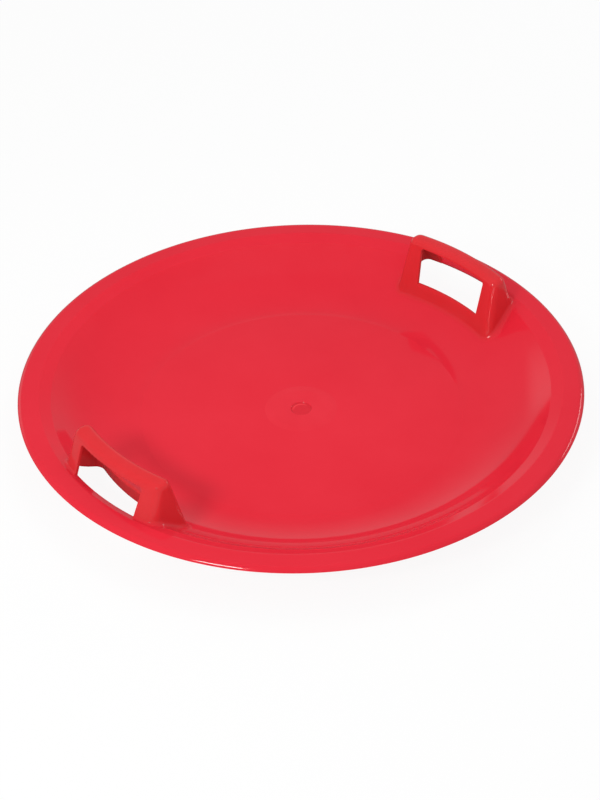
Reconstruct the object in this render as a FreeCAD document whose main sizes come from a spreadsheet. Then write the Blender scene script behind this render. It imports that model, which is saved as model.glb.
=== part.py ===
import FreeCAD, Part
import os
import Sketcher

# Saucer sled: a round moulded dish with a flat floor, a turned-out rim and two arched hand grips.
# Millimetres, +Z up, ground at zero, dish axis upright through the origin, hand grips on the X axis.
# The moulding is divided where its form changes; the divisions meet face to face.

# Driving sizes: the dish is measured inwards from its rim and upwards from the ground
SIZES = {
    # rim
    "rim_outer_radius": 330.0,
    "rim_width": 24.5,
    "rim_start_run": 2.0,
    "rim_height": 51.0,
    "rim_lip_depth": 4.5,
    "rim_lip_wall": 3.6,
    "rim_roll_run": 3.0,
    "rim_roll_rounding": 8.2,
    "rim_inner_rounding": 6.0,
    # side: down from the rim to the shoulder, and from the shoulder to the foot, where wall and floor would meet
    "shoulder_width": 13.5,
    "shoulder_drop": 6.0,
    "shoulder_rounding": 4.0,
    "wall_run": 50.0,
    "wall_upright_thickness": 4.1,
    # floor: flat out to its edge, from where the side curves up past the foot
    "curve_run": 52.0,
    "shell_wall": 3.0,
    # moulding gate in the middle of the floor
    "pad_radius": 43.0,
    "pad_proud": 0.4,
    "gate_radius": 12.5,
    "gate_depth": 1.2,
    # hand grips: the faces below a grip lean outwards from its top down to the ground
    "grip_rise": 39.8,
    "grip_setback": 22.0,
    "grip_thickness": 18.5,
    "grip_half_length": 72.5,
    "grip_skirt_depth": 7.0,
    "grip_edge_rounding": 7.5,
    "handle_inner_lean": 18.0,
    "handle_outer_lean": 36.5,
    "handle_end_lean": 8.0,
    "handle_wall": 3.0,
    "handle_corner_rounding": 9.0,
    # hand windows below the grips, a little longer at the top than along the sill
    "window_half_length": 49.0,
    "window_end_lean": 3.0,
    "window_sill_drop": 15.0,
    "window_corner_rounding": 5.0,
}
# How much of the run from the foot to the floor's edge the side's curve takes up
CURVE_SHARE = 0.945
# How far up the wall's run the curved piece ends
WALL_START_SHARE = 0.9
FULL_TURN = 360.0
HANDLE_SECTOR = 90.0
HANDLE_TURNS = {"right": 0.0, "left": 180.0}
# Turned faces start and end clear of the hand grips
SEAM_TURN = 45.0
# How near two lengths are, as a share of the wall, to count as one
CLOSE_SHARE = 1e-4
# How much of a block's height an edge climbs to count as one of its upright corners
UPRIGHT_SHARE = 0.5

document = FreeCAD.newDocument("SaucerSled")


class Length:
    """A length together with the sheet expression that gives it."""

    def __init__(self, value, text):
        self.value = value
        self.text = text

    def __add__(self, other):
        return Length(self.value + other.value, f"({self.text} + {other.text})")

    def __sub__(self, other):
        return Length(self.value - other.value, f"({self.text} - {other.text})")

    def __neg__(self):
        return Length(-self.value, f"(-{self.text})")

    def share(self, number):
        return Length(self.value * number, f"({self.text} * {number})")

    def slant(self, rise):
        """The length of a slope with this run and a rise."""
        value = (self.value ** 2 + rise.value ** 2) ** 0.5
        return Length(value, f"sqrt({self.text} ^ 2 + {rise.text} ^ 2)")

    def scaled(self, upper, lower):
        """This length times the ratio of two others."""
        value = self.value * upper.value / lower.value
        return Length(value, f"({self.text} * {upper.text} / {lower.text})")


def make_sheet():
    sheet = document.addObject("Spreadsheet::Sheet", "Sizes")
    for row, (alias, value) in enumerate(SIZES.items(), start=1):
        sheet.set(f"A{row}", alias)
        sheet.set(f"B{row}", str(value))
        sheet.setAlias(f"B{row}", alias)
    document.recompute()
    return {alias: Length(value, f"Sizes.{alias}") for alias, value in SIZES.items()}


size = make_sheet()
ground = Length(0.0, "0")
axis = ground

# Places on the dish that several pieces share
floor_top = size["shell_wall"]
rim_under = size["rim_height"] - size["shell_wall"]
rim_inner_radius = size["rim_outer_radius"] - size["rim_width"]
rim_start_radius = rim_inner_radius - size["rim_start_run"]
shoulder_radius = rim_inner_radius - size["shoulder_width"]
shoulder_height = size["rim_height"] - size["shoulder_drop"]
shoulder_under = shoulder_height - size["wall_upright_thickness"]
foot_radius = shoulder_radius - size["wall_run"]
wall_reach = size["wall_run"].share(WALL_START_SHARE)
wall_start_radius = foot_radius + wall_reach
floor_radius = foot_radius - size["curve_run"]
foot = (foot_radius, floor_top)
shoulder = (shoulder_radius, shoulder_height)
rim_edge = (rim_inner_radius, size["rim_height"])


def height_between(radius, lower, upper):
    """The height at a radius on the straight slope between two places of the dish."""
    lower_radius, lower_height = lower
    upper_radius, upper_height = upper
    climb = upper_height - lower_height
    return lower_height + climb.scaled(radius - lower_radius, upper_radius - lower_radius)


wall_start_height = height_between(wall_start_radius, foot, shoulder)
wall_start_under = wall_start_height - size["wall_upright_thickness"]
# The curve's radius, from how far it reaches to either side of the foot
curve_reach = size["curve_run"].share(CURVE_SHARE)
side_under_rounding = curve_reach.scaled(wall_start_under, wall_reach.slant(wall_start_under) - wall_reach)
side_rounding = side_under_rounding - size["shell_wall"]
rim_start_height = height_between(rim_start_radius, shoulder, rim_edge)
rim_start_under = rim_start_height - size["shell_wall"]

# Places on the hand grips
grip_height = size["rim_height"] + size["grip_rise"]
grip_skirt_height = grip_height - size["grip_skirt_depth"]
grip_outer_radius = rim_inner_radius - size["grip_setback"]
grip_inner_radius = grip_outer_radius - size["grip_thickness"]
handle_inner_radius = grip_inner_radius - size["handle_inner_lean"]
handle_outer_radius = grip_outer_radius + size["handle_outer_lean"]
handle_half_length = size["grip_half_length"] + size["handle_end_lean"]
window_sill_height = size["rim_height"] - size["window_sill_drop"]


def new_body(name, turn=0.0):
    body = document.addObject("PartDesign::Body", name)
    body.Label = name
    body.Placement = FreeCAD.Placement(FreeCAD.Vector(), FreeCAD.Rotation(FreeCAD.Vector(0, 0, 1), turn))
    return body


def new_sketch(body, role):
    sketch = body.newObject("Sketcher::SketchObject", f"{body.Name}_sketch")
    plane = [feature for feature in body.Origin.OriginFeatures if feature.Role == role][0]
    sketch.AttachmentSupport = [(plane, "")]
    sketch.MapMode = "FlatFace"
    return sketch


def bind(sketch, constraint, length):
    index = sketch.addConstraint(constraint)
    sketch.setExpression(f"Constraints[{index}]", length.text)


def pin_point(sketch, edge, end, x, y):
    """Fix a sketch point at two lengths from the sheet."""
    for kind, line, length in (("DistanceX", -2, x), ("DistanceY", -1, y)):
        if length.value == 0:
            sketch.addConstraint(Sketcher.Constraint("PointOnObject", edge, end, line))
        else:
            bind(sketch, Sketcher.Constraint(kind, edge, end, length.value), length)


def draw_outline(sketch, points):
    """Draw a closed outline of straight edges through pairs of lengths."""
    first = sketch.GeometryCount
    corners = [FreeCAD.Vector(x.value, y.value, 0) for x, y in points]
    for start, end in zip(corners, corners[1:] + corners[:1]):
        sketch.addGeometry(Part.LineSegment(start, end), False)
    for number, (x, y) in enumerate(points):
        following = (number + 1) % len(points)
        sketch.addConstraint(Sketcher.Constraint("Coincident", first + number, 2, first + following, 1))
        pin_point(sketch, first + number, 1, x, y)


def revolve(body, sketch, angle):
    feature = body.newObject("PartDesign::Revolution", f"{body.Name}_revolution")
    feature.Profile = sketch
    feature.ReferenceAxis = (sketch, ["V_Axis"])
    feature.Angle = angle
    feature.Midplane = angle < FULL_TURN
    document.recompute()


def lathe(name, points):
    """A body of revolution about the dish's axis; points are pairs of radius and height."""
    body = new_body(name, SEAM_TURN)
    sketch = new_sketch(body, "XZ_Plane")
    draw_outline(sketch, points)
    revolve(body, sketch, FULL_TURN)
    return body


def round_edges(body, name, radius, wanted):
    """Round the edges of the body's last feature that the test picks."""
    base = body.Tip
    numbers = [number for number, edge in enumerate(base.Shape.Edges, start=1) if wanted(edge)]
    feature = body.newObject("PartDesign::Fillet", f"{body.Name}_{name}")
    feature.Base = (base, [f"Edge{number}" for number in numbers])
    feature.Radius = radius.value
    feature.setExpression("Radius", radius.text)
    document.recompute()


def near(a, b):
    return abs(a - b) < size["shell_wall"].value * CLOSE_SHARE


def is_ring(edge, radius, height):
    """Whether an edge is the full circle at a radius and a height."""
    box = edge.BoundBox
    return near(box.XMax, radius.value) and near(box.ZMin, height.value) and near(box.ZMax, height.value)


def combine(kind, name, base, tool):
    result = document.addObject(f"Part::{kind}", name)
    result.Base = base
    result.Tool = tool
    result.Label = name
    document.recompute()
    return result


def make_floor_disc():
    body = new_body("floor_disc")
    sketch = new_sketch(body, "XY_Plane")
    for number, radius in enumerate((floor_radius, size["pad_radius"])):
        sketch.addGeometry(Part.Circle(FreeCAD.Vector(), FreeCAD.Vector(0, 0, 1), radius.value), False)
        sketch.addConstraint(Sketcher.Constraint("Coincident", number, 3, -1, 1))
        bind(sketch, Sketcher.Constraint("Radius", number, radius.value), radius)
    pad = body.newObject("PartDesign::Pad", "floor_disc_pad")
    pad.Profile = sketch
    pad.setExpression("Length", size["shell_wall"].text)
    document.recompute()
    return body


def make_gate_pad():
    pad_top = floor_top + size["pad_proud"]
    gate_bottom = pad_top - size["gate_depth"]
    return lathe("gate_pad", [
        (axis, ground),
        (size["pad_radius"], ground),
        (size["pad_radius"], pad_top),
        (size["gate_radius"], pad_top),
        (size["gate_radius"], gate_bottom),
        (axis, gate_bottom),
    ])


def make_curved_side():
    """The side's curve up from the floor, divided at the foot into the floor's band and the foot of the wall."""
    body = lathe("curved_side", [
        (floor_radius, ground),
        (foot_radius, ground),
        (wall_start_radius, wall_start_under),
        (wall_start_radius, wall_start_height),
        foot,
        (floor_radius, floor_top),
    ])
    round_edges(body, "upper_rounding", side_rounding, lambda edge: is_ring(edge, *foot))
    round_edges(body, "lower_rounding", side_under_rounding, lambda edge: is_ring(edge, foot_radius, ground))
    core = document.addObject("Part::Cylinder", "foot_core")
    core.setExpression("Radius", foot_radius.text)
    core.setExpression("Height", size["rim_height"].text)
    core.Placement = body.Placement
    return combine("Common", "floor_band", body, core), combine("Cut", "whole_wall_foot", body, core)


def make_whole_side_wall():
    body = lathe("whole_side_wall", [
        (wall_start_radius, wall_start_under),
        (shoulder_radius, shoulder_under),
        (rim_start_radius, rim_start_under),
        (rim_start_radius, rim_start_height),
        shoulder,
        (wall_start_radius, wall_start_height),
    ])
    round_edges(body, "rounding", size["shoulder_rounding"], lambda edge: is_ring(edge, *shoulder))
    return body


def make_rim():
    """The flat rim, rolled over at its outer edge into a low slanting lip."""
    lip_bottom = size["rim_height"] - size["rim_lip_depth"]
    lip_inner = size["rim_outer_radius"] - size["rim_lip_wall"]
    lip_inner_top = lip_inner - size["rim_roll_run"].scaled(rim_under - lip_bottom, size["rim_lip_depth"])
    roll = (size["rim_outer_radius"] - size["rim_roll_run"], size["rim_height"])
    body = lathe("rim", [
        (rim_start_radius, rim_start_under),
        (rim_inner_radius, rim_under),
        (lip_inner_top, rim_under),
        (lip_inner, lip_bottom),
        (size["rim_outer_radius"], lip_bottom),
        roll,
        rim_edge,
        (rim_start_radius, rim_start_height),
    ])
    round_edges(body, "roll_rounding", size["rim_roll_rounding"], lambda edge: is_ring(edge, *roll))
    round_edges(body, "inner_rounding", size["rim_inner_rounding"], lambda edge: is_ring(edge, *rim_edge))
    return body


def make_dish_form():
    """Everything below the dish's upper surface, which trims the feet of the handles."""
    body = lathe("dish_form", [
        (axis, ground),
        (size["rim_outer_radius"], ground),
        (size["rim_outer_radius"], size["rim_height"]),
        rim_edge,
        shoulder,
        foot,
        (axis, floor_top),
    ])
    round_edges(body, "side_rounding", side_rounding, lambda edge: is_ring(edge, *foot))
    round_edges(body, "shoulder_rounding", size["shoulder_rounding"], lambda edge: is_ring(edge, *shoulder))
    return body


def make_handle_block(name, turn, inset, corner):
    """A block bent along the dish, with leaning sides and ends, drawn in by an inset."""
    top = grip_height - inset
    top_half = size["grip_half_length"] - inset
    ground_half = handle_half_length - inset
    reach = handle_outer_radius
    body = new_body(name, turn)
    sketch = new_sketch(body, "XZ_Plane")
    draw_outline(sketch, [
        (handle_inner_radius + inset, ground),
        (reach - inset, ground),
        (grip_outer_radius - inset, top),
        (grip_inner_radius + inset, top),
    ])
    revolve(body, sketch, HANDLE_SECTOR)
    ends = new_sketch(body, "YZ_Plane")
    draw_outline(ends, [(top_half, top), (ground_half, ground), (reach, ground), (reach, top)])
    draw_outline(ends, [(-top_half, top), (-ground_half, ground), (-reach, ground), (-reach, top)])
    trim = body.newObject("PartDesign::Pocket", f"{name}_trim")
    trim.Profile = ends
    trim.SideType = "Symmetric"
    trim.Type = "ThroughAll"
    document.recompute()
    round_edges(body, "corners", corner, lambda edge: edge.BoundBox.ZLength > top.value * UPRIGHT_SHARE)
    return body


def make_prism(name, turn, left, right, bottom, top, lean=ground):
    """A bar that reaches from the axis out past a handle; its section widens upwards by a lean at either end."""
    body = new_body(name, turn)
    sketch = new_sketch(body, "YZ_Plane")
    draw_outline(sketch, [(left, bottom), (right, bottom), (right + lean, top), (left - lean, top)])
    pad = body.newObject("PartDesign::Pad", f"{name}_pad")
    pad.Profile = sketch
    pad.setExpression("Length", handle_outer_radius.text)
    document.recompute()
    return body


def make_handle(side, turn, dish_form):
    """The pieces of one hand grip, and the hollow that opens the dish below it."""
    outer = make_handle_block(f"{side}_handle_outside", turn, ground, size["handle_corner_rounding"])
    round_edges(outer, "top_rounding", size["grip_edge_rounding"],
                lambda edge: near(edge.BoundBox.ZMin, grip_height.value))
    hollow = make_handle_block(f"{side}_handle_hollow", turn, size["handle_wall"],
                               size["handle_corner_rounding"] - size["handle_wall"])
    half = size["window_half_length"]
    reach = handle_outer_radius
    window = make_prism(f"{side}_window", turn, -half, half, window_sill_height, grip_skirt_height,
                        size["window_end_lean"])
    round_edges(window, "corners", size["window_corner_rounding"],
                lambda edge: near(edge.BoundBox.ZMin, grip_skirt_height.value)
                and near(edge.BoundBox.XLength, reach.value))
    shell = combine("Cut", f"{side}_handle_shell", outer, hollow)
    standing = combine("Cut", f"{side}_handle_standing", shell, dish_form)
    arch = combine("Cut", f"{side}_handle_arch", standing, window)

    grip_bottom = grip_skirt_height - size["window_corner_rounding"]
    lower_post, upper_post = ("front", "rear") if turn == 0 else ("rear", "front")
    regions = {
        f"{side}_grip_bar": (-half, half, grip_bottom, grip_height),
        f"{side}_sill_panel": (-half, half, ground, window_sill_height),
        f"{side}_{lower_post}_post": (-reach, -half, ground, grip_height),
        f"{side}_{upper_post}_post": (half, reach, ground, grip_height),
    }
    pieces = []
    for name, region in regions.items():
        pieces.append(combine("Common", name, arch, make_prism(f"{name}_region", turn, *region)))
    return pieces, hollow


def make_pieces():
    floor_band, whole_wall_foot = make_curved_side()
    pieces = [make_floor_disc(), make_gate_pad(), floor_band, make_rim()]
    dish_form = make_dish_form()
    opened = {"wall_foot": whole_wall_foot, "side_wall": make_whole_side_wall()}
    hollows = []
    for side, turn in HANDLE_TURNS.items():
        handle_pieces, hollow = make_handle(side, turn, dish_form)
        pieces.extend(handle_pieces)
        hollows.append(hollow)
    first, second = hollows
    for name, whole in opened.items():
        half_open = combine("Cut", f"half_open_{name}", whole, first)
        pieces.append(combine("Cut", name, half_open, second))
    return pieces


def check(pieces):
    for item in document.Objects:
        if "Invalid" in item.State or "Error" in item.State:
            raise RuntimeError(f"{item.Label} failed: {item.State}")
    for piece in pieces:
        shape = piece.Shape
        if shape.isNull() or not shape.isValid() or len(shape.Solids) != 1:
            raise RuntimeError(f"{piece.Label} is not one valid solid")


pieces = make_pieces()
check(pieces)
os.makedirs("parts", exist_ok=True)
for piece in pieces:
    piece.Shape.exportStep(f"parts/{piece.Label}.step")
    print(piece.Label, round(piece.Shape.Volume), piece.Shape.BoundBox)
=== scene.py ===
import math
import bmesh
import bpy
import numpy as np
from mathutils import Matrix, Vector


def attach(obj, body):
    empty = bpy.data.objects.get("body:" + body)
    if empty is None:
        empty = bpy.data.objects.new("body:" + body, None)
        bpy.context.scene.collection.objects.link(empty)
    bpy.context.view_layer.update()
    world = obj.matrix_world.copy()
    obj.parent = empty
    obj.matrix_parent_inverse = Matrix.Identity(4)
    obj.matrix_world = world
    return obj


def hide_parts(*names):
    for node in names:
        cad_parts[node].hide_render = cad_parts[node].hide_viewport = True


# Saucer sled in red moulded plastic: a turned dish with two arched hand grips
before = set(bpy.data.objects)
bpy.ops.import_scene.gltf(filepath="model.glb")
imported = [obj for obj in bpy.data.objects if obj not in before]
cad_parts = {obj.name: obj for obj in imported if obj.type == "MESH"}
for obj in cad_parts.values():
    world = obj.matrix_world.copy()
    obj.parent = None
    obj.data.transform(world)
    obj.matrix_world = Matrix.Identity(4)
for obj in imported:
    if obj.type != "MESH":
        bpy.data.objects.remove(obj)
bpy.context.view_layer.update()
mm = 0.001
print("frame loaded:", len(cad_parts), "nodes")


# Node helpers

def addNode(tree, kind, links=None, **settings):
    node = tree.nodes.new(kind)
    for key, value in settings.items():
        setattr(node, key, value)
    for socket, source in (links or {}).items():
        if isinstance(source, bpy.types.NodeSocket):
            tree.links.new(source, node.inputs[socket])
        else:
            node.inputs[socket].default_value = source
    return node


def calc(tree, operation, *values):
    return addNode(tree, "ShaderNodeMath", dict(enumerate(values)), operation=operation).outputs[0]


def vectorCalc(tree, operation, output, *values):
    return addNode(tree, "ShaderNodeVectorMath", dict(enumerate(values)), operation=operation).outputs[output]


def spread(tree, value, fromMin, fromMax, toMin, toMax, **settings):
    links = {"Value": value, "From Min": fromMin, "From Max": fromMax, "To Min": toMin, "To Max": toMax}
    return addNode(tree, "ShaderNodeMapRange", links, **settings).outputs[0]


def mixColour(tree, share, first, second):
    return addNode(tree, "ShaderNodeMix", {0: share, 6: first, 7: second}, data_type="RGBA").outputs[2]


def noise(tree, place, scale, detail, roughness=0.5):
    links = {"Vector": place, "Scale": scale, "Detail": detail, "Roughness": roughness}
    return addNode(tree, "ShaderNodeTexNoise", links).outputs[0]


def readAttribute(tree, name):
    return addNode(tree, "GeometryNodeInputNamedAttribute", {"Name": name}, data_type="FLOAT").outputs[0]


def newGroup(name, kind, inputs, outputs):
    tree = bpy.data.node_groups.new(name, kind)
    for label, socketKind in inputs:
        tree.interface.new_socket(label, in_out="INPUT", socket_type=socketKind)
    for label, socketKind in outputs:
        tree.interface.new_socket(label, in_out="OUTPUT", socket_type=socketKind)
    return tree, tree.nodes.new("NodeGroupInput").outputs, tree.nodes.new("NodeGroupOutput")


# Red plastic: one skin effect for all the finishes

plastic = {
    "mottleDetail": 4.0, "mottleRoughness": 0.6, "cloudLow": 0.35, "cloudHigh": 0.65,
    "smearFineness": 5.0, "smearDetail": 3.0,       # smears in the gloss are this much finer than the mottle
    "noiseMiddle": 0.5, "peelDetail": 2.0, "peelDepth": 0.4, "ior": 1.47,
}
finishes = {
    "dishRed": {"colour": (0.755, 0.019, 0.038, 1), "pale": (0.775, 0.023, 0.043, 1), "mottle": 7.0,
                "roughness": 0.075, "swing": 0.04, "peel": 420.0, "bump": 0.005},
    # painted shade: the grips are the dish's own plastic, drawn a darker red for the shade on their sides
    "gripShadedRed": {"colour": (0.705, 0.026, 0.032, 1), "pale": (0.725, 0.030, 0.038, 1), "mottle": 16.0,
                "roughness": 0.08, "swing": 0.04, "peel": 520.0, "bump": 0.01,
                "foot": (0.765, 0.021, 0.040, 1)},
    "gateRed": {"colour": (0.760, 0.021, 0.040, 1), "pale": (0.780, 0.025, 0.045, 1), "mottle": 24.0,
                "roughness": 0.14, "swing": 0.06, "peel": 480.0, "bump": 0.05,
                # painted shade: the recess in the gate pad drawn a darker red, for the shade in the hollow
                "recessShade": (0.690, 0.017, 0.033, 1), "recessShadeRadius": 12.3, "recessShadeFade": 0.5,
                # painted highlight: a pale arc where the recess wall would catch the lamp
                "arcHighlight": (0.880, 0.050, 0.066, 1), "arcHighlightRadius": 9.6, "arcHighlightWidth": 1.5,
                "arcHighlightTurn": 74.0, "arcHighlightStart": 0.2, "arcHighlightFull": 0.8},
}


def makeMouldedSkin():
    tint, decimal = "NodeSocketColor", "NodeSocketFloat"
    tree, given, result = newGroup(
        "mouldedSkin", "ShaderNodeTree",
        [("Colour", tint), ("Pale Colour", tint), ("Mottle Scale", decimal), ("Roughness", decimal),
         ("Roughness Spread", decimal), ("Peel Scale", decimal)],
        [("Colour", tint), ("Roughness", decimal), ("Peel", decimal)])
    place = addNode(tree, "ShaderNodeTexCoord").outputs["Object"]
    mottle = noise(tree, place, given["Mottle Scale"], plastic["mottleDetail"], plastic["mottleRoughness"])
    cloud = spread(tree, mottle, plastic["cloudLow"], plastic["cloudHigh"], 0.0, 1.0)
    colour = mixColour(tree, cloud, given["Colour"], given["Pale Colour"])
    smearScale = calc(tree, "MULTIPLY", given["Mottle Scale"], plastic["smearFineness"])
    smear = calc(tree, "SUBTRACT", noise(tree, place, smearScale, plastic["smearDetail"]),
                 plastic["noiseMiddle"])
    swing = calc(tree, "MULTIPLY", smear, given["Roughness Spread"])
    tree.links.new(colour, result.inputs["Colour"])
    tree.links.new(calc(tree, "ADD", given["Roughness"], swing), result.inputs["Roughness"])
    tree.links.new(noise(tree, place, given["Peel Scale"], plastic["peelDetail"]), result.inputs["Peel"])
    return tree


mouldedSkin = makeMouldedSkin()


# The grips' painted shade fades out at the foot, back into the dish's red
def fadeGripShade(tree, colour, wanted):              # a grip's foot runs into the dish's red
    share = addNode(tree, "ShaderNodeAttribute", attribute_name="footShare").outputs["Fac"]
    return mixColour(tree, share, colour, wanted["foot"])


# Paints light onto the gate pad: shade over the recess, and a highlight arc inside it
def paintGateLight(tree, colour, wanted):
    place = addNode(tree, "ShaderNodeTexCoord").outputs["Object"]
    level = vectorCalc(tree, "MULTIPLY", "Vector", place, (1, 1, 0))
    reach = vectorCalc(tree, "LENGTH", "Value", level)
    # Painted shade: a darker disc over the recess
    edge = wanted["recessShadeRadius"] * mm
    inRecessShade = spread(tree, reach, edge - wanted["recessShadeFade"] * mm, edge, 1.0, 0.0)
    colour = mixColour(tree, inRecessShade, colour, wanted["recessShade"])
    # Painted highlight: a pale arc inside the darker recess, strongest towards one side
    turn = math.radians(wanted["arcHighlightTurn"])
    way = vectorCalc(tree, "NORMALIZE", "Vector", level)
    toward = vectorCalc(tree, "DOT_PRODUCT", "Value", way, (math.cos(turn), math.sin(turn), 0))
    off = calc(tree, "ABSOLUTE", calc(tree, "SUBTRACT", reach, wanted["arcHighlightRadius"] * mm))
    inHighlightArc = calc(tree, "MULTIPLY", spread(tree, off, 0.0, wanted["arcHighlightWidth"] * mm, 1.0, 0.0),
                 spread(tree, toward, wanted["arcHighlightStart"], wanted["arcHighlightFull"], 0.0, 1.0))
    return mixColour(tree, inHighlightArc, colour, wanted["arcHighlight"])


def makeFinish(name):
    wanted = finishes[name]
    material = bpy.data.materials.new(name)
    material.use_nodes = True
    material.diffuse_color = wanted["colour"]
    tree = material.node_tree
    shader = tree.nodes["Principled BSDF"]
    skin = addNode(tree, "ShaderNodeGroup", node_tree=mouldedSkin)
    for socket, value in (("Colour", "colour"), ("Pale Colour", "pale"), ("Mottle Scale", "mottle"),
                          ("Roughness", "roughness"), ("Roughness Spread", "swing"), ("Peel Scale", "peel")):
        skin.inputs[socket].default_value = wanted[value]
    bump = addNode(tree, "ShaderNodeBump", {"Height": skin.outputs["Peel"], "Strength": wanted["bump"],
                                            "Distance": plastic["peelDepth"] * mm})
    colour = skin.outputs["Colour"]
    if "foot" in wanted:
        colour = fadeGripShade(tree, colour, wanted)
    if "recessShade" in wanted:
        colour = paintGateLight(tree, colour, wanted)
    tree.links.new(colour, shader.inputs["Base Color"])
    tree.links.new(skin.outputs["Roughness"], shader.inputs["Roughness"])
    tree.links.new(bump.outputs[0], shader.inputs["Normal"])
    shader.inputs["IOR"].default_value = plastic["ior"]
    return material


materials = {name: makeFinish(name) for name in finishes}
print("finishes made:", ", ".join(materials))


# Dish: each piece is a line from the axis side outwards (radius, height, rounding), turned about the axis

dish = {
    "columns": 288, "roundingPoints": 60, "ringPoints": 8,
    "wall": 3.0,
    "floorRadius": 190.0, "floorTop": 3.0, "padRadius": 43.0,
    "ringStep": 0.65, "ringRun": 16.0,       # the floor's rise above the ring round it, and the ring's width
    "footRadius": 242.0, "sideRounding": 135.0, "wallStart": 287.0,
    "shoulderRadius": 292.0, "shoulderHeight": 45.0, "shoulderRounding": 4.0,
    "rimStart": 303.5, "rimInner": 305.5, "rimOuter": 330.0, "rimTop": 51.0,
    "lipRun": 3.0, "lipBottom": 46.5, "rimInnerRounding": 6.0, "rimOuterRounding": 8.2,
    "holeColumns": 13,         # columns from the middle of a handle to the end of its hole
    "easeColumns": 36,         # columns from that middle to where the spacing is even again
    "holeInnerRadius": 251.2, "holeOuterRadius": 297.6, "holeInnerHalf": 77.3, "holeOuterHalf": 74.4,
    "sharpAngle": 38.0, "weldGap": 0.01, "slopeStep": 1.0,
}


def onSlope(radius, lower, upper):
    share = (radius - lower[0]) / (upper[0] - lower[0])
    return (radius, lower[1] + (upper[1] - lower[1]) * share, 0)


discTop = dish["floorTop"] + dish["ringStep"]
foot = (dish["footRadius"], dish["floorTop"], 0)         # where wall and floor would meet without the curve
shoulder = (dish["shoulderRadius"], dish["shoulderHeight"], dish["shoulderRounding"])
rimEdge = (dish["rimInner"], dish["rimTop"], dish["rimInnerRounding"])
wallStart = onSlope(dish["wallStart"], foot, shoulder)
holeEdge = onSlope(dish["holeOuterRadius"], shoulder, rimEdge)
rimStart = onSlope(dish["rimStart"], shoulder, rimEdge)

# The side's curve leaves the floor level, and is divided above the foot
sideRounding = dish["sideRounding"]
wallTurn = math.atan2(shoulder[1] - foot[1], shoulder[0] - foot[0])
curveStart = foot[0] - sideRounding * math.tan(wallTurn / 2)
footTurn = math.asin((foot[0] - curveStart) / sideRounding)


def onCurve(turn):
    rise = sideRounding * (1 - math.cos(turn))
    return (curveStart + sideRounding * math.sin(turn), dish["floorTop"] + rise, 0)


def curveCorner(turnFrom, turnTo):
    reach = sideRounding * math.tan((turnTo - turnFrom) / 2)
    start = onCurve(turnFrom)
    return (start[0] + reach * math.cos(turnFrom), start[1] + reach * math.sin(turnFrom), sideRounding)


def curveTurn(radius):
    return math.asin(max(radius - curveStart, 0) / sideRounding)


def ringPoint(share):
    radius = dish["floorRadius"] + dish["ringRun"] * share
    return (radius, onCurve(curveTurn(radius))[1] + dish["ringStep"] * (1 - share) ** 2, 0)


ringLine = [ringPoint(k / dish["ringPoints"]) for k in range(dish["ringPoints"] + 1)]
ringEnd = curveTurn(dish["floorRadius"] + dish["ringRun"])
dishLines = {
    "floorDisc": ("floor_disc", [(dish["padRadius"], discTop, 0), (dish["floorRadius"], discTop, 0)]),
    "floorBand": ("floor_band", ringLine + [curveCorner(ringEnd, footTurn), onCurve(footTurn)]),
    "wallFoot": ("wall_foot", [onCurve(footTurn), curveCorner(footTurn, wallTurn), wallStart]),
    "sideWall": ("side_wall", [wallStart, shoulder, holeEdge, rimStart]),
    "rim": ("rim", [rimStart, rimEdge,
                    (dish["rimOuter"] - dish["lipRun"], dish["rimTop"], dish["rimOuterRounding"]),
                    (dish["rimOuter"], dish["lipBottom"], 0)]),
}


# A column's angle is measured from the nearer handle, and drawn in so that the hole's ends run straight
def columnAngle(tree, given, column, radius):
    step = calc(tree, "DIVIDE", 2 * math.pi, given["Columns"])
    even = calc(tree, "MULTIPLY", column, step)
    handleTurn = calc(tree, "MULTIPLY", calc(tree, "ROUND", calc(tree, "DIVIDE", even, math.pi)), math.pi)
    offset = calc(tree, "SUBTRACT", even, handleTurn)
    gap = calc(tree, "ABSOLUTE", offset)
    half = spread(tree, radius, given["Hole Inner Radius"], given["Hole Outer Radius"],
                  given["Hole Inner Half"], given["Hole Outer Half"])
    nearRadius = calc(tree, "MINIMUM", calc(tree, "MAXIMUM", radius, given["Hole Inner Radius"]),
                      given["Hole Outer Radius"])
    endTurn = calc(tree, "ARCSINE", calc(tree, "DIVIDE", half, nearRadius))
    holeTurn = calc(tree, "MULTIPLY", given["Hole Columns"], step)
    easeTurn = calc(tree, "MULTIPLY", given["Ease Columns"], step)
    inside = spread(tree, gap, 0.0, holeTurn, 0.0, endTurn)
    easing = spread(tree, gap, holeTurn, easeTurn, 0.0, calc(tree, "SUBTRACT", easeTurn, endTurn))
    beyond = calc(tree, "MAXIMUM", calc(tree, "SUBTRACT", gap, easeTurn), 0.0)
    drawn = calc(tree, "ADD", calc(tree, "ADD", inside, easing), beyond)
    angle = calc(tree, "ADD", handleTurn, calc(tree, "MULTIPLY", calc(tree, "SIGN", offset), drawn))
    return angle, calc(tree, "DIVIDE", gap, step)


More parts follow.
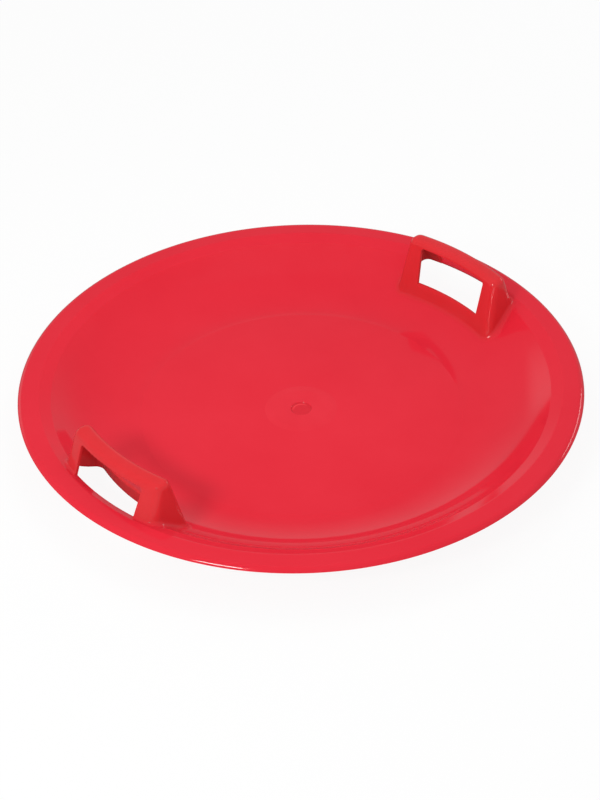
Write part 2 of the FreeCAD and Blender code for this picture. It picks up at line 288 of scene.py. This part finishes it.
def makeTurnTree():
    whole, decimal, shape = "NodeSocketInt", "NodeSocketFloat", "NodeSocketGeometry"
    tree, given, result = newGroup(
        "turnedSheet", "GeometryNodeTree",
        [("Geometry", shape), ("Columns", whole), ("Rounding Points", whole), ("Hole Columns", whole),
         ("Ease Columns", whole), ("Hole Inner Radius", decimal), ("Hole Outer Radius", decimal),
         ("Hole Inner Half", decimal), ("Hole Outer Half", decimal), ("Material", "NodeSocketMaterial")],
        [("Geometry", shape)])
    line = addNode(tree, "GeometryNodeMeshToCurve", {"Mesh": given["Geometry"]}).outputs[0]
    rounded = {"Curve": line, "Count": given["Rounding Points"], "Radius": readAttribute(tree, "rounding"),
               "Limit Radius": True}
    line = addNode(tree, "GeometryNodeFilletCurve", rounded, mode="POLY").outputs[0]
    size = addNode(tree, "GeometryNodeAttributeDomainSize", {"Geometry": line}, component="CURVE")
    rows = size.outputs["Point Count"]

    # Grid of columns and rows, laid round the axis along the line
    counts = {"Vertices X": calc(tree, "ADD", given["Columns"], 1.0), "Vertices Y": rows}
    sheet = addNode(tree, "GeometryNodeMeshGrid", counts).outputs["Mesh"]
    index = addNode(tree, "GeometryNodeInputIndex").outputs[0]
    midIndex = calc(tree, "ADD", index, 0.5)         # half an index more keeps rounding errors out
    column = calc(tree, "FLOOR", calc(tree, "DIVIDE", midIndex, rows))
    row = calc(tree, "FLOORED_MODULO", index, rows)
    profile = addNode(tree, "GeometryNodeSampleIndex", {"Geometry": line}, data_type="FLOAT_VECTOR",
                      domain="POINT")
    tree.links.new(addNode(tree, "GeometryNodeInputPosition").outputs[0], profile.inputs["Value"])
    tree.links.new(row, profile.inputs["Index"])
    across = addNode(tree, "ShaderNodeSeparateXYZ", {0: profile.outputs[0]}).outputs
    radius, height = across[0], across[2]
    angle, columnGap = columnAngle(tree, given, column, radius)
    x = calc(tree, "MULTIPLY", radius, calc(tree, "COSINE", angle))
    y = calc(tree, "MULTIPLY", radius, calc(tree, "SINE", angle))
    place = addNode(tree, "ShaderNodeCombineXYZ", {"X": x, "Y": y, "Z": height}).outputs[0]
    kept = {"columnGap": columnGap, "ringRadius": radius}
    for name, value in kept.items():
        stored = {"Geometry": sheet, "Name": name, "Value": value}
        sheet = addNode(tree, "GeometryNodeStoreNamedAttribute", stored, data_type="FLOAT",
                        domain="POINT").outputs[0]
    sheet = addNode(tree, "GeometryNodeSetPosition", {"Geometry": sheet, "Position": place}).outputs[0]

    # Holes below the two handles
    read = {name: readAttribute(tree, name) for name in kept}
    tests = [calc(tree, "LESS_THAN", read["columnGap"], given["Hole Columns"]),
             calc(tree, "GREATER_THAN", read["ringRadius"], given["Hole Inner Radius"]),
             calc(tree, "LESS_THAN", read["ringRadius"], given["Hole Outer Radius"])]
    inHole = calc(tree, "MULTIPLY", calc(tree, "MULTIPLY", tests[0], tests[1]), tests[2])
    sheet = addNode(tree, "GeometryNodeDeleteGeometry", {"Geometry": sheet, "Selection": inHole},
                    domain="FACE", mode="ALL").outputs[0]
    weld = {"Geometry": sheet, "Distance": dish["weldGap"] * mm}
    sheet = addNode(tree, "GeometryNodeMergeByDistance", weld).outputs[0]
    for name in kept:
        sheet = addNode(tree, "GeometryNodeRemoveAttribute", {"Geometry": sheet, "Name": name}).outputs[0]
    sheet = addNode(tree, "GeometryNodeFlipFaces", {"Mesh": sheet}).outputs[0]
    sheet = addNode(tree, "GeometryNodeRealizeInstances", {"Geometry": sheet}).outputs[0]
    painted = {"Geometry": sheet, "Material": given["Material"]}
    sheet = addNode(tree, "GeometryNodeSetMaterial", painted).outputs[0]
    tree.links.new(sheet, result.inputs["Geometry"])
    return tree


turnedSheet = makeTurnTree()


def newPiece(name, mesh):
    piece = bpy.data.objects.new(name, mesh)
    bpy.context.scene.collection.objects.link(piece)
    return piece


def settle(piece):
    bpy.context.view_layer.update()
    made = bpy.data.meshes.new_from_object(piece.evaluated_get(bpy.context.evaluated_depsgraph_get()))
    piece.modifiers.clear()
    piece.data = made
    made.name = piece.name


def finishPiece(piece, *nodes):
    piece.data.shade_smooth()
    piece.data.set_sharp_from_angle(angle=math.radians(dish["sharpAngle"]))
    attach(piece, "root")
    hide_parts(*nodes)


def turnPiece(name, line, finish):
    mesh = bpy.data.meshes.new(name)
    mesh.from_pydata([(radius * mm, 0, height * mm) for radius, height, rounding in line],
                     [(point, point + 1) for point in range(len(line) - 1)], [])
    rounding = mesh.attributes.new("rounding", "FLOAT", "POINT")
    rounding.data.foreach_set("value", [point[2] * mm for point in line])
    piece = newPiece(name, mesh)
    modifier = piece.modifiers.new("turn", "NODES")
    modifier.node_group = turnedSheet
    inputs = {
        "Columns": dish["columns"], "Rounding Points": dish["roundingPoints"],
        "Hole Columns": dish["holeColumns"], "Ease Columns": dish["easeColumns"],
        "Hole Inner Radius": dish["holeInnerRadius"] * mm, "Hole Inner Half": dish["holeInnerHalf"] * mm,
        "Hole Outer Radius": dish["holeOuterRadius"] * mm, "Hole Outer Half": dish["holeOuterHalf"] * mm,
        "Material": materials[finish],
    }
    for item in turnedSheet.interface.items_tree:
        if item.name in inputs and item.in_out == "INPUT":
            modifier[item.identifier] = inputs[item.name]
    settle(piece)
    return piece


surface = []
for name, (node, line) in dishLines.items():
    piece = turnPiece(name, line, "dishRed")
    points = np.array([vertex.co for vertex in piece.data.vertices])
    surface.append(np.stack([np.hypot(points[:, 0], points[:, 1]), points[:, 2]], axis=1))
    wall = piece.modifiers.new("wall", "SOLIDIFY")
    wall.thickness, wall.offset, wall.use_even_offset = dish["wall"] * mm, -1, True
    wall.use_quality_normals = True
    settle(piece)
    finishPiece(piece, node)
    print("turned", name, len(piece.data.polygons), "faces")

# Height of the dish's upper face at any radius inside the lip, for what stands on it
surface = np.concatenate(surface) / mm
surface = surface[surface[:, 0] < dish["rimOuter"] - dish["lipRun"]]
surface = surface[np.argsort(surface[:, 0])]


def dishTop(radius):
    return np.interp(radius, surface[:, 0], surface[:, 1])


def dishUnder(radius):
    half = dish["slopeStep"] / 2
    slope = (dishTop(radius + half) - dishTop(radius - half)) / dish["slopeStep"]
    return dishTop(radius) - dish["wall"] * math.hypot(1, slope)


# Gate pad: the mark in the middle where the plastic went in

gate = {"padProud": 0.4, "padRun": 9, "padEdge": 12,
        "recessRadius": 12.5, "recessRun": 1.1, "recessDepth": 1.6, "recessEdge": 0.8}
padTop, padUnder = discTop + gate["padProud"], discTop - dish["wall"]
recessFloor = padTop - gate["recessDepth"]
gatePad = turnPiece("gatePad", [
    (0, recessFloor, 0), (gate["recessRadius"] - gate["recessRun"], recessFloor, gate["recessEdge"]),
    (gate["recessRadius"], padTop, gate["recessEdge"]),
    (dish["padRadius"] - gate["padRun"], padTop, gate["padEdge"]),
    (dish["padRadius"], discTop, 0), (dish["padRadius"], padUnder, 0), (0, padUnder, 0)], "gateRed")
finishPiece(gatePad, "gate_pad")
print("gate pad made")


# Hand grips: a bent block with leaning sides, hollow, with a window through both sides

grip = {
    "top": 90.8, "innerRadius": 265.0, "outerRadius": 283.5, "halfLength": 72.5,
    "innerLean": 18.0, "outerLean": 36.5, "endLean": 8.0,
    "wall": 3.0, "topRounding": 7.5, "hollowRounding": 4.5,
    "corner": 9.0, "leastCorner": 0.8, "cornerSpread": 10.0,
    "windowHalf": 49.0, "windowLean": 3.0, "windowTop": 83.8, "windowSill": 36.0, "windowCorner": 5.0,
    "edgeRounding": 0.6, "edgeSegments": 2,
    "innerFlare": 9.0, "endFlare": 8.0, "outerEndShare": 0.7, "outerFlare": 3.0,
    "hiddenDepth": 1.2, "hemOut": 1.8, "hemRise": 0.4,       # the foot's edge, hidden in the dish's wall
    "footSearch": (1.0, 70.0), "probeRise": 4.0, "probeReach": 3.0, "weldGap": 0.001,
}
cornerSteps, endSteps, postSteps, flareSteps = 8, 4, 3, 6        # divisions of the grip's mesh
plainCount, sideSteps, footSteps, hemRows = 8, 4, 3, 2
searchSteps = 40                             # halvings in the search for the foot's height
topTurns = (90, 72, 55, 39, 25, 12, 0)       # degrees along the rounding of the grip's top
columnTurns, diagonalTurn, rowTurns = (75, 60), 45, (30, 15)        # degrees round a window's upper corner
riseTurns = (diagonalTurn, *rowTurns, 0)
plainColumns = list(np.linspace(0, grip["windowHalf"] - grip["windowCorner"], plainCount))
cornerColumns = [grip["windowHalf"] - grip["windowCorner"] * (1 - math.cos(math.radians(turn)))
                 for turn in columnTurns]
windowColumns = plainColumns + cornerColumns + [grip["windowHalf"]]
windowEdge = len(windowColumns) - 1
arcColumns = len(windowColumns) + postSteps


def windowEnd(z):
    share = (z - grip["windowSill"]) / (grip["windowTop"] - grip["windowSill"])
    return grip["windowHalf"] + grip["windowLean"] * min(max(share, 0), 1)


# Half of a level cut through the grip, from the middle of the inner side to the middle of the outer one
def halfLoop(z, shell, drawIn=(0, 0, 0)):
    inset, top = shell["inset"], grip["top"] - shell["inset"]
    share = (top - z) / top
    inner = grip["innerRadius"] + inset - grip["innerLean"] * share + drawIn[0]
    outer = grip["outerRadius"] - inset + grip["outerLean"] * share - drawIn[1]
    half = grip["halfLength"] - inset + grip["endLean"] * share - drawIn[2]
    corner = max(shell["corner"] - max(drawIn), grip["leastCorner"])
    outerCorner = corner + grip["cornerSpread"] * max(share, 0)     # it widens towards the foot
    across, outerAcross = half - corner, half - outerCorner
    innerCentre = math.sqrt((inner + corner) ** 2 - across ** 2)
    outerCentre = math.sqrt((outer - outerCorner) ** 2 - outerAcross ** 2)
    innerTurn, outerTurn = math.atan2(across, innerCentre), math.atan2(outerAcross, outerCentre)

    def arcPoints(radius, turn, sign):
        last, end = radius * math.sin(turn), windowEnd(z)
        places = [y * end / grip["windowHalf"] for y in windowColumns]
        places += [end + (last - end) * k / postSteps for k in range(1, postSteps + 1)]
        for y in places:
            x = math.sqrt(radius ** 2 - y ** 2)
            yield (x, y), (sign * x / radius, sign * y / radius)

    def bend(centre, radius, start, end):
        for k in range(1, cornerSteps + 1):
            turn = start + (end - start) * k / cornerSteps
            normal = (math.cos(turn), math.sin(turn))
            yield (centre + radius * normal[0], half - radius + radius * normal[1]), normal

    run = list(arcPoints(inner, innerTurn, -1))
    run += bend(innerCentre, corner, math.pi + innerTurn, math.pi / 2)
    run += [((innerCentre + (outerCentre - innerCentre) * k / endSteps, half), (0, 1))
            for k in range(1, endSteps + 1)]
    run += list(bend(outerCentre, outerCorner, math.pi / 2, outerTurn))[:-1]
    run += list(arcPoints(outer, outerTurn, 1))[::-1]
    points, normals = zip(*run)
    return np.array(points), np.array(normals)


outside = {"inset": 0.0, "corner": grip["corner"], "rounding": grip["topRounding"]}
hollow = {"inset": grip["wall"], "corner": grip["corner"] - grip["wall"], "rounding": grip["hollowRounding"]}
halfCount = len(halfLoop(grip["windowSill"], outside)[0])

# Radius of the foot's hollow curve at each column
endColumn = arcColumns + cornerSteps
flares = np.interp(
    np.arange(halfCount), [arcColumns, endColumn, endColumn + endSteps, halfCount - arcColumns],
    [grip["innerFlare"], grip["endFlare"], grip["endFlare"] * grip["outerEndShare"], grip["outerFlare"]])


# Rows over the grip's rounded top, from its middle line down
def topRows(shell):
    top, radius = grip["top"] - shell["inset"], shell["rounding"]
    leans = [grip[key] / grip["top"] for key in ("innerLean", "outerLean", "endLean")]
    rows = []
    for turn in topTurns:
        z = top - radius + radius * math.sin(math.radians(turn))
        drawIn = []
        for lean in leans:
            centre = radius * lean - radius * math.hypot(1, lean)
            reach = centre + radius * math.cos(math.radians(turn))
            drawIn.append(max(lean * (top - z) - reach, 0) if turn > math.degrees(math.atan(lean)) else 0)
        points = halfLoop(z, shell, drawIn)[0]
        rows.append(np.column_stack([points, np.full(halfCount, z)]))
    middle = (rows[0] + rows[0][::-1]) / 2
    middle[arcColumns:halfCount - arcColumns] = middle[arcColumns - 1]
    return [middle] + rows


def wallPoint(column, z, shell):
    points, normals = halfLoop(z, shell)
    return np.array([*points[column], z]), normals[column]


# Height at which a column of the grip's wall meets the dish
def meeting(column, shell, height):
    low, high = grip["footSearch"]
    for _ in range(searchSteps):
        z = (low + high) / 2
        point = wallPoint(column, z, shell)[0]
        if z > height(math.hypot(point[0], point[1])):
            high = z
        else:
            low = z
    return (low + high) / 2


def onDish(point, normal, reach):
    x, y = point[0] + normal[0] * reach, point[1] + normal[1] * reach
    return np.array([x, y, dishTop(math.hypot(x, y))])


# Hollow curve of the foot: an arc that leaves the wall and lands on the dish
def flare(column):
    baseZ = meeting(column, outside, dishTop)
    base, normal = wallPoint(column, baseZ, outside)
    up = wallPoint(column, baseZ + grip["probeRise"], outside)[0] - base
    out = onDish(base, normal, grip["probeReach"]) - base
    up, out = up / np.linalg.norm(up), out / np.linalg.norm(out)
    half = math.acos(float(up @ out)) / 2
    reach = flares[column] / math.tan(half)
    start = wallPoint(column, baseZ + reach * up[2], outside)[0]
    end = onDish(base, normal, reach * math.hypot(out[0], out[1]))
    weight = math.sin(half)
    curve = []
    for k in range(1, flareSteps + 1):
        share = k / flareSteps
        parts = (1 - share) ** 2, 2 * weight * share * (1 - share), share ** 2
        curve.append((parts[0] * start + parts[1] * base + parts[2] * end) / sum(parts))
    return start, curve, normal


# Rows of the sides below that, outside to the foot's hidden edge and inside to the dish's underside
def sideRows():
    cornerStart = grip["windowTop"] - grip["windowCorner"]
    rises = [cornerStart + grip["windowCorner"] * math.sin(math.radians(turn)) for turn in riseTurns]
    sillStart = flare(0)[0][2]
    sillShare = (grip["windowSill"] - sillStart) / (cornerStart - sillStart)
    outer, inner = [], []
    for column in range(halfCount):
        start, curve, normal = flare(column)
        bottomZ = meeting(column, hollow, dishUnder)
        bottom = wallPoint(column, bottomZ, hollow)[0]
        hidden = curve[-1] - np.array([0, 0, grip["hiddenDepth"]])
        hem = bottom + np.array([*(normal * grip["hemOut"]), 0])
        hem[2] = dishUnder(math.hypot(hem[0], hem[1])) + grip["hemRise"]
        sillZ = start[2] + (cornerStart - start[2]) * sillShare
        upper = rises + list(np.linspace(cornerStart, sillZ, sideSteps + 1)[1:])
        outerZ = upper + list(np.linspace(sillZ, start[2], footSteps + 1)[1:])
        innerZ = upper + list(np.linspace(sillZ, bottomZ, footSteps + flareSteps + hemRows + 1)[1:])
        outer.append([wallPoint(column, z, outside)[0] for z in outerZ] + curve + [hidden, hem])
        inner.append([wallPoint(column, z, hollow)[0] for z in innerZ])
    return np.array(outer).transpose(1, 0, 2), np.array(inner).transpose(1, 0, 2)


outerSide, innerSide = sideRows()
outerGrid = np.concatenate([np.array(topRows(outside)), outerSide])
innerGrid = np.concatenate([np.array(topRows(hollow)), innerSide])
topRow = len(topTurns) + 1                   # first row of the window
sillRow = topRow + len(riseTurns) + sideSteps - 1
rowCount = len(outerGrid)


# Upper edge of the window with its rounded corners, on both sides of the grip
def roundWindow(grid, shell):
    top, corner = grip["windowTop"], grip["windowCorner"]
    for mirrored in (False, True):
        def setPoint(row, column, y, z):
            points = halfLoop(z, shell)[0]
            place = halfCount - 1 - column if mirrored else column
            radius = np.linalg.norm(points[-1] if mirrored else points[0])
            grid[row, place] = (math.sqrt(radius ** 2 - y ** 2), y, z)

        def setCorner(row, column, turn):
            z = top - corner * (1 - math.sin(math.radians(turn)))
            setPoint(row, column, windowEnd(z) - corner * (1 - math.cos(math.radians(turn))), z)

        for column, y in enumerate(plainColumns):
            setPoint(topRow, column, y * windowEnd(top) / grip["windowHalf"], top)
        for step, turn in enumerate((*columnTurns, diagonalTurn)):
            setCorner(topRow, len(plainColumns) + step, turn)
        for step, turn in enumerate(rowTurns):
            setCorner(topRow + 1 + step, windowEdge, turn)


roundWindow(outerGrid, outside)
roundWindow(innerGrid, hollow)


def fullGrid(grid):
    other = grid[:, -2:0:-1].copy()
    other[:, :, 1] *= -1
    return np.concatenate([grid, other], axis=1)


# Faces that stay: all but the window in the inner side, and the outer side below the bar
def keptFaces(columnCount):
    kept = np.ones((rowCount - 1, columnCount), bool)
    innerWindow = [column % columnCount for column in range(-windowEdge, windowEdge)]
    outerWindow = list(range(halfCount - 1 - windowEdge, halfCount - 1 + windowEdge))
    kept[topRow:sillRow, innerWindow] = False
    kept[topRow:, outerWindow] = False
    return kept


def handleMesh(name, turn):
    outer, inner = fullGrid(outerGrid), fullGrid(innerGrid)
    columnCount = outer.shape[1]
    kept = keptFaces(columnCount)
    bm = bmesh.new()
    footShare = bm.verts.layers.float.new("footShare")
    spin = Matrix.Rotation(math.radians(turn), 3, "Z")
    skins = [[[bm.verts.new(spin @ Vector(point * mm)) for point in row] for row in grid]
             for grid in (outer, inner)]
    flareRow = rowCount - hemRows - 1 - flareSteps
    for row in range(flareRow, rowCount):
        for vertex in skins[0][row]:
            vertex[footShare] = min((row - flareRow) / flareSteps, 1)
    rounded = []
    for row in range(rowCount - 1):
        for column in range(columnCount):
            if not kept[row, column]:
                continue
            after = (column + 1) % columnCount
            ring = [(row, column), (row, after), (row + 1, after), (row + 1, column)]
            bm.faces.new([skins[0][r][c] for r, c in ring])
            bm.faces.new([skins[1][r][c] for r, c in ring[::-1]])
            # Where the next face is cut away, a strip joins the two skins
            beyond = [(row - 1, column), (row, after), (row + 1, column), (row, (column - 1) % columnCount)]
            for side, (nextRow, nextColumn) in enumerate(beyond):
                if nextRow < 0 or (nextRow < rowCount - 1 and kept[nextRow, nextColumn]):
                    continue
                (r0, c0), (r1, c1) = ring[side], ring[(side + 1) % 4]
                bm.faces.new([skins[0][r1][c1], skins[0][r0][c0], skins[1][r0][c0], skins[1][r1][c1]])
                if nextRow < rowCount - 1 and row < rowCount - hemRows - 2:
                    rounded += [(skin[r0][c0], skin[r1][c1]) for skin in skins]
    weight = bm.edges.layers.float.new("bevel_weight_edge")
    for pair in rounded:
        edge = bm.edges.get(pair)
        if edge:
            edge[weight] = 1.0
    bmesh.ops.remove_doubles(bm, verts=bm.verts, dist=grip["weldGap"] * mm)
    bmesh.ops.recalc_face_normals(bm, faces=bm.faces)
    mesh = bpy.data.meshes.new(name)
    bm.to_mesh(mesh)
    bm.free()
    mesh.materials.append(materials["gripShadedRed"])
    return mesh


for side, turn in (("right", 0), ("left", 180)):
    handle = newPiece(side + "Handle", handleMesh(side + "Handle", turn))
    bevel = handle.modifiers.new("windowEdges", "BEVEL")
    bevel.limit_method, bevel.width = "WEIGHT", grip["edgeRounding"] * mm
    bevel.segments = grip["edgeSegments"]
    settle(handle)
    finishPiece(handle, *[f"{side}_{part}" for part in ("grip_bar", "sill_panel", "front_post", "rear_post")])
    print("handle made:", side, len(handle.data.polygons), "faces")


# Stage: white floor that keeps a soft shadow, three soft lamps and a dim surround for mirrored rays

stage = {"turn": 42.6, "floorSize": 14.0, "floorDrop": 0.3,
         "floorWhite": 0.9, "floorGlow": 0.92, "floorMirrored": 0.32,
         "dome": 0.68, "horizon": 0.30, "sky": 0.21, "horizonEnd": 0.12, "skyStart": 0.48}
glows = [                                    # paler parts of the mirrored surround
    {"toward": (0.0, 0.97, 0.24), "start": 0.93, "full": 1.0, "strength": 0.12},
    {"toward": (-0.66, 0.74, 0.14), "start": 0.95, "full": 0.995, "strength": 0.30},
]
lamps = {
    "topBox": {"place": (0.0, 0.05, 0.66), "size": (0.36, 0.36), "power": 1.05, "shine": False},
    "keyBox": {"place": (-0.77, -1.28, 1.14), "size": (0.46, 0.20), "power": 10.0, "shine": True},
    "sideBox": {"place": (1.62, 0.91, 0.76), "size": (0.9, 0.20), "power": 2.4, "shine": True},
}
photoTurn = Matrix.Rotation(math.radians(-stage["turn"]), 3, "Z")


def makeFloor():
    half, level = stage["floorSize"] / 2, -stage["floorDrop"] * mm
    mesh = bpy.data.meshes.new("studioFloor")
    corners = [(-half, -half, level), (half, -half, level), (half, half, level), (-half, half, level)]
    mesh.from_pydata(corners, [], [(0, 1, 2, 3)])
    material = bpy.data.materials.new("studioWhite")
    material.use_nodes = True
    tree = material.node_tree
    tree.nodes.remove(tree.nodes["Principled BSDF"])
    path = addNode(tree, "ShaderNodeLightPath").outputs
    seen = calc(tree, "MULTIPLY", calc(tree, "MAXIMUM", path["Is Camera Ray"], path["Is Transmission Ray"]),
                stage["floorGlow"])
    tone = spread(tree, path["Is Glossy Ray"], 0.0, 1.0, stage["floorWhite"], stage["floorMirrored"])
    card = addNode(tree, "ShaderNodeBsdfDiffuse", {"Color": tone}).outputs[0]
    glow = addNode(tree, "ShaderNodeEmission", {"Color": (1, 1, 1, 1), "Strength": 1.0}).outputs[0]
    mixed = addNode(tree, "ShaderNodeMixShader", {0: seen, 1: card, 2: glow})
    clear = addNode(tree, "ShaderNodeBsdfTransparent").outputs[0]        # seen from below, the floor is clear
    behind = addNode(tree, "ShaderNodeNewGeometry").outputs["Backfacing"]
    final = addNode(tree, "ShaderNodeMixShader", {0: behind, 1: mixed.outputs[0], 2: clear})
    tree.links.new(final.outputs[0], tree.nodes["Material Output"].inputs["Surface"])
    mesh.materials.append(material)
    floor = newPiece("studioFloor", mesh)


def makeWorld():
    world = bpy.data.worlds.new("studioWorld")
    world.use_nodes = True
    bpy.context.scene.world = world
    tree = world.node_tree
    background = tree.nodes["Background"]
    ray = addNode(tree, "ShaderNodeTexCoord").outputs["Generated"]
    up = addNode(tree, "ShaderNodeSeparateXYZ", {0: ray}).outputs[2]
    sky = spread(tree, up, stage["horizonEnd"], stage["skyStart"], stage["horizon"], stage["sky"],
                 interpolation_type="SMOOTHSTEP")
    for glow in glows:
        aim = photoTurn @ Vector(glow["toward"]).normalized()
        facing = vectorCalc(tree, "DOT_PRODUCT", "Value", ray, aim)
        paler = spread(tree, facing, glow["start"], glow["full"], 0.0, glow["strength"],
                       interpolation_type="SMOOTHSTEP")
        sky = calc(tree, "ADD", sky, paler)
    path = addNode(tree, "ShaderNodeLightPath").outputs
    dome = calc(tree, "MULTIPLY", calc(tree, "SUBTRACT", 1.0, path["Is Glossy Ray"]), stage["dome"])
    mirrored = calc(tree, "MULTIPLY", sky, path["Is Glossy Ray"])
    through = calc(tree, "MAXIMUM", path["Is Camera Ray"], path["Is Transmission Ray"])
    shown = calc(tree, "MAXIMUM", calc(tree, "ADD", dome, mirrored), through)
    tree.links.new(shown, background.inputs["Strength"])
    background.inputs["Color"].default_value = (1, 1, 1, 1)


def makeLamps():
    for name, wanted in lamps.items():
        light = bpy.data.lights.new(name, "AREA")
        light.shape, light.size, light.size_y = "RECTANGLE", *wanted["size"]
        light.energy = wanted["power"]
        lamp = newPiece(name, light)
        lamp.visible_glossy, lamp.visible_camera = wanted["shine"], False
        lamp.location = photoTurn @ Vector(wanted["place"])
        lamp.rotation_mode = "QUATERNION"
        lamp.rotation_quaternion = (-lamp.location).to_track_quat("-Z", "Y")


camera = {"elevation": 37.475, "distance": 2.31, "aim": 51.0, "roll": 1.66, "lens": 88.83, "sensor": 36.0,
          "frameHeight": 800, "shiftPixels": (-0.333, -23.25), "clip": (0.05, 100.0)}


def makeCamera():
    data = bpy.data.cameras.new("camera")
    data.lens, data.sensor_width = camera["lens"], camera["sensor"]
    data.shift_x, data.shift_y = [pixels / camera["frameHeight"] for pixels in camera["shiftPixels"]]
    data.clip_start, data.clip_end = camera["clip"]
    rise, roll = math.radians(camera["elevation"]), math.radians(camera["roll"])
    back = photoTurn @ Vector((0, -math.cos(rise), math.sin(rise)))
    flatRight = Vector((0, 0, 1)).cross(back).normalized()
    flatUp = back.cross(flatRight)
    right = math.cos(roll) * flatRight - math.sin(roll) * flatUp
    up = math.sin(roll) * flatRight + math.cos(roll) * flatUp
    place = Vector((0, 0, camera["aim"] * mm)) + back * camera["distance"]
    item = newPiece("camera", data)
    turned = Matrix((right, up, back)).transposed().to_4x4()
    item.matrix_world = Matrix.Translation(place) @ turned
    bpy.context.scene.camera = item


makeFloor()
makeWorld()
makeLamps()
makeCamera()
bpy.context.scene.view_settings.view_transform = "Standard"
print("stage, lamps and camera made")
